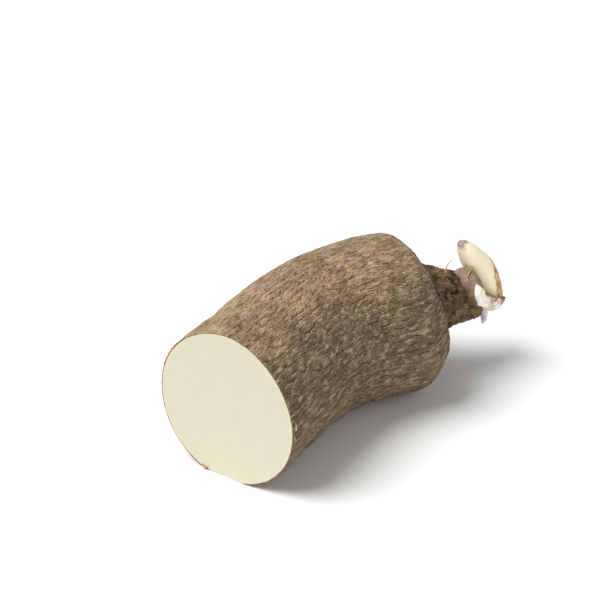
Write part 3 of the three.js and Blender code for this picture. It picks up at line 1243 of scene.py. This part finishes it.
@dataclass
class Bud:
    """The smooth swelling at the knob's end that the shoot broke out of. Sizes in millimetres."""

    lobes: tuple[tuple[Point, Point], ...] = (
        ((-10.0, -5.0, 54.5), (8.0, 13.9, 11.9)),
        ((-3.2, 4.5, 48.0), (8.5, 9.0, 11.0)),
    )
    woody_side: Point = (-0.09, -0.01, -0.05)
    voxel: float = 0.55

    def build(self) -> bpy.types.Object:
        """Makes the finished bud: two lobes, grown into one.

        Returns:
            The bud.
        """
        crown = LINE.crown_frame()
        crown.translation *= MM
        deselect()
        made = []
        for centre, radii in self.lobes:
            bpy.ops.mesh.primitive_uv_sphere_add(segments=48, ring_count=32, radius=1)
            made.append(bpy.context.object)
            offset = Matrix.Translation([c * MM for c in centre])
            made[-1].matrix_world = crown @ offset @ Matrix.Diagonal([r * MM for r in radii] + [1])
            bpy.context.view_layer.update()
            bpy.ops.object.transform_apply(location=True, rotation=True, scale=True)
        piece = join(made, "yam_bud")
        apply_modifier(piece, "REMESH", mode="VOXEL", voxel_size=self.voxel * MM)
        apply_modifier(piece, "SMOOTH", factor=0.6, iterations=10)
        back = crown.inverted()
        local = np.array([tuple(back @ vertex.co) for vertex in piece.data.vertices]) / MM
        store(piece.data, "away", (local - np.array(self.lobes[0][0])) @ np.array(self.woody_side))
        roughen(piece, 8.0, 1.3, 3.0)
        roughen(piece, 2.2, 0.3, 9.0)
        finish_piece(piece, BudSkin().build(), ["shoot_bud"], 80.0)
        return piece


@dataclass
class Collar:
    """The torn cup of pale flesh that the shoot stands in, and its flap. Sizes in millimetres."""

    bud: bpy.types.Object
    rim_radius: float = 10.3
    fullness: float = 0.2
    height: float = 11.0
    wall: float = 1.3
    centre: Point = (8.0, -0.4, 34.0)
    lean: float = math.radians(12)
    sides: int = 56
    rows: int = 8
    flap_thickness: float = 6.0
    flap_left: tuple[Point, ...] = (
        (-8.1, -15.5, 46.5), (-10.8, -16.5, 51.2), (-12.8, -19.0, 55.5), (-12.5, -18.8, 58.2),
        (-10.7, -17.2, 62.4),
    )
    flap_right: tuple[Point, ...] = (
        (1.5, -12.5, 41.1), (4.9, -10.4, 45.0), (1.0, -12.0, 49.6), (-4.6, -15.5, 55.7),
        (-10.1, -17.4, 62.5),
    )

    def build(self) -> bpy.types.Object:
        """Makes the finished collar.

        Returns:
            The cup and its flap as one piece.
        """
        cup = self.cup()
        flap = leaf("flap", self.flap_left, self.flap_right, self.flap_thickness, 0.6, self.bud, 1.0)
        for name, value in (("inside", 0.0), ("clean", 1.0), ("rim", 0.0)):
            store(flap.data, name, np.full(len(flap.data.vertices), value))
        cup = join([cup, flap], "yam_bud_collar")
        roughen(cup, 3.0, 0.5, 5.0)
        finish_piece(cup, TornFlesh().build(), ["bud_collar"], 70.0)
        return cup

    def cup(self) -> bpy.types.Object:
        """Makes the cup: a ring drawn up into a wall, torn at its rim and given its thickness.

        Returns:
            The cup in its place.
        """
        deselect()
        bpy.ops.mesh.primitive_circle_add(vertices=self.sides, radius=self.rim_radius)
        piece = bpy.context.object
        piece.name = piece.data.name = "yam_bud_collar"
        bpy.ops.object.mode_set(mode="EDIT")
        bpy.ops.mesh.select_all(action="SELECT")
        step = (0, 0, self.height / self.rows)
        for _ in range(self.rows):
            bpy.ops.mesh.extrude_region_move(TRANSFORM_OT_translate={"value": step})
        bpy.ops.mesh.select_all(action="SELECT")
        bpy.ops.mesh.normals_make_consistent(inside=False)
        bpy.ops.object.mode_set(mode="OBJECT")
        places = coordinates(piece.data)
        share = places[:, 2] / self.height
        angle = np.arctan2(places[:, 1], places[:, 0])
        around = np.stack([np.cos(angle), np.sin(angle)], axis=1)
        ragged = np.array([noise.noise(Vector((x * 2.4, y * 2.4, 1.7))) for x, y in around])
        fine = np.array([noise.noise(Vector((x * 7, y * 7, 4.2))) for x, y in around])
        # The rim stands highest by the flap, and lowest on the shoot's outer side.
        rise = 1.4 * ragged + 0.5 * fine
        rise += 1.6 * (np.exp(-((angle + 2.2) / 0.7) ** 2) - np.exp(-((angle + 0.2) / 0.6) ** 2))
        radius = self.rim_radius * np.maximum(share, 0.0005) ** self.fullness * (1 + 0.05 * ragged)
        places = np.column_stack([around * radius[:, None], places[:, 2] + rise * share**2])
        tilt = Matrix.Translation(self.centre) @ Matrix.Rotation(self.lean, 4, "Y")
        move_vertices(piece.data, carried(places, tilt))
        store(piece.data, "rim", share)
        store(piece.data, "clean", 1 - np.exp(-((angle + 1.35) / 0.8) ** 2))
        apply_modifier(piece, "SOLIDIFY", thickness=self.wall * MM, offset=-1.0)
        outside = self.sides * (self.rows + 1)
        # The inner wall is marked, so that its finish darkens it red-brown as painted shade.
        store(piece.data, "inside", (np.arange(len(piece.data.vertices)) >= outside).astype(float))
        apply_modifier(piece, "SUBSURF", levels=1, render_levels=1)
        return piece


@dataclass
class SmallParts:
    """The small torn and hair-like parts at the crown and at the cut's rim. Sizes in millimetres."""

    tuber: Tuber
    bud: bpy.types.Object
    root_path: tuple[Point, ...] = (
        (6.0, -1.0, 35.5), (6.4, -1.3, 31.0), (6.3, -1.2, 27.5), (5.8, -1.0, 24.8),
    )
    crown_fibre: tuple[Point, ...] = (
        (-24.5, -3, 67), (-23.8, -3.4, 71.4), (-22.2, -4, 74.4), (-20, -4.6, 75.8),
    )
    rim_fibre: tuple[Point, ...] = ((3, -0.8, 3), (1.6, 0.6, 5), (1, 1.1, 7), (0.8, 0.6, 9.5))
    fibre_radii: tuple[float, ...] = (0.5, 0.45, 0.35, 0.12)
    peel: tuple[Point, ...] = ((0.8, 18.0, 1.9), (-0.2, 16.2, 1.5), (-0.5, 14.2, 1.3), (-0.5, 12.6, 1.2))
    scale_left: tuple[Point, ...] = ((-11.6, -4.6, 70.4), (-12.6, -7.6, 67.4), (-13.6, -11.0, 64.7))
    scale_right: tuple[Point, ...] = ((-6.4, -6.0, 68.2), (-10.0, -8.6, 66.6), (-13.0, -11.1, 64.5))
    hairs: int = 46

    def build(self) -> None:
        """Makes each finished part."""
        fibre = DRY_FIBRE.build()
        self.root_tip()
        self.scale()
        crown = swept("yam_crown_fibre", carried(self.crown_fibre), self.fibre_radii, 2)
        finish_piece(crown, fibre, ["fibre_crown"])
        self.at_rim(fibre)
        self.neck_hairs()

    def root_tip(self) -> None:
        """Makes the pale tip of a young root below the collar."""
        piece = swept("yam_root_tip", carried(self.root_path), (2.6, 2.5, 2.0, 0.7), 5, 8)
        roughen(piece, 2.5, 0.5, 1.0)
        finish_piece(piece, YOUNG_ROOT.build(), ["root_tip"], 80.0)

    def scale(self) -> None:
        """Makes the small torn scale that hangs from the shoot's inner side."""
        piece = leaf("yam_torn_scale", self.scale_left, self.scale_right, 0.5, 0.3, self.bud, 0.7)
        roughen(piece, 2.0, 0.3, 4.0)
        finish_piece(piece, BUD_SCALE.build(), ["torn_scale"], 70.0)

    def at_rim(self, fibre: bpy.types.Material) -> None:
        """Makes the frayed fibres at the right of the cut's rim and the peel flake at its left.

        Args:
            fibre: The fibres' finish.
        """
        radius, height = self.tuber.cut_radius, self.tuber.cut_radius - self.tuber.flat_depth
        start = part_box("tuber")[0][0] / MM
        side = LINE.side_shift - self.tuber.widening * radius
        # The small fibre stands a little lower and further in than the other.
        for name, shift, drop, tall, nodes in (("yam_rim_fibre", 0.0, 0.0, 1.0, ["fibre_rim"]),
                                               ("yam_rim_fibre_small", 0.7, 5.0, 0.6, [])):
            points = np.array([(start + into, side - out + shift, height + up * tall - drop)
                               for into, out, up in self.rim_fibre]) * MM
            piece = swept(name, points, self.fibre_radii, 2)
            finish_piece(piece, fibre, nodes)
        peel = (np.array(self.peel) + (start, 0, 0)) * MM
        piece = swept("yam_peel_flake", peel, (0.3, 0.8, 0.7, 0.2), 3)
        roughen(piece, 1.5, 0.35, 6.0)
        finish_piece(piece, DRY_PEEL.build(), [])

    def neck_hairs(self) -> None:
        """Makes the short hair roots round the neck."""
        random = np.random.default_rng(7)
        made = []
        for _ in range(self.hairs):
            along = LINE.body_length + random.uniform(-6, 22)
            turn = random.uniform(-math.pi, math.pi) * 0.8
            past = along - LINE.body_length
            foot = 20.5 - 0.2 * max(0.0, past) + 2.2 * max(0.0, -past)
            drift = random.uniform(-0.16, 0.16, 2)
            steps = np.array([0.0, 1.0, 2.0, 3.0])
            radii = foot + np.array([-1.5, 0.6, 1.6, 1.9]) * random.uniform(0.6, 1.3)
            angles = turn + drift[0] * steps * steps * 0.4
            path = self.tuber.place(along + drift[1] * 9 * steps, radii * np.sin(angles),
                                    radii * np.cos(angles))
            thick = random.uniform(0.16, 0.32)
            made.append(swept("hair", path, (thick, thick, thick * 0.7, thick * 0.3), 1, 3))
        piece = join(made, "yam_neck_hairs")
        finish_piece(piece, HAIR_ROOT.build(), [])


# ---------------------------------------------------------------- the stage and the order of work

FLOOR_COLOUR = "#f4f4f3"
ROOM_COLOUR = "#ffffff"
ROOM_LIGHT = 0.30
# Each lamp's name, strength, spread in degrees and direction.
LAMPS = (("key", 3.6, 42, (0.46, -0.36, -0.81)), ("fill", 0.75, 70, (0.22, 0.92, -0.33)))


def main() -> None:
    """Builds the yam, the floor, the light and the camera."""
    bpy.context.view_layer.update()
    set_stage()
    tuber, shoot = Tuber(), Shoot()
    for part in (tuber, shoot, Sheath(shoot)):
        part.build()
    bud = Bud().build()
    for part in (Collar(bud), SmallParts(tuber, bud)):
        part.build()


def set_stage() -> None:
    """Makes the floor, the soft lights and the camera."""
    scene = bpy.context.scene
    scene.view_settings.view_transform = "Standard"
    deselect()
    bpy.ops.mesh.primitive_plane_add(size=6)
    floor = bpy.context.object
    floor.name = "floor"
    material, _, shader = new_material("pale matt floor")
    shader.inputs["Base Color"].default_value = srgb(FLOOR_COLOUR)
    shader.inputs["Roughness"].default_value = 0.9
    floor.data.materials.append(material)
    world = bpy.data.worlds.new("studio")
    world.use_nodes = True
    world.node_tree.nodes["Background"].inputs[0].default_value = srgb(ROOM_COLOUR)
    world.node_tree.nodes["Background"].inputs[1].default_value = ROOM_LIGHT
    scene.world = world
    place_camera()
    for name, energy, spread, direction in LAMPS:
        light = bpy.data.lights.new(name, "SUN")
        light.energy, light.angle = energy, math.radians(spread)
        lamp = bpy.data.objects.new(name, light)
        bpy.context.collection.objects.link(lamp)
        lamp.rotation_euler = Vector(direction).to_track_quat("-Z", "Y").to_euler()


def place_camera() -> None:
    """Puts the camera 1.1 m from the cut face, above it and to its right, with the whole yam in view."""
    azimuth, elevation, distance = math.radians(-52.18), math.radians(31.15), 1.1
    back = Vector((math.sin(azimuth) * math.cos(elevation), -math.cos(azimuth) * math.cos(elevation),
                   math.sin(elevation)))
    across = Vector((math.cos(azimuth), math.sin(azimuth), 0))
    cut_middle, aim_right, aim_up = 0.04125, 0.0375, 0.0567
    target = Vector((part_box("tuber")[0][0], LINE.side_shift * MM, cut_middle))
    away = (back - across * aim_right - back.cross(across) * aim_up).normalized()
    right = (across - away * across.dot(away)).normalized()
    data = bpy.data.cameras.new("camera")
    data.lens, data.sensor_width = 120, 36
    data.clip_start, data.clip_end = 0.05, 20
    camera = bpy.data.objects.new("camera", data)
    bpy.context.collection.objects.link(camera)
    camera.location = target + back * distance
    camera.rotation_euler = Matrix((right, away.cross(right), away)).transposed().to_euler()
    bpy.context.scene.camera = camera


if __name__ == "__main__":
    main()
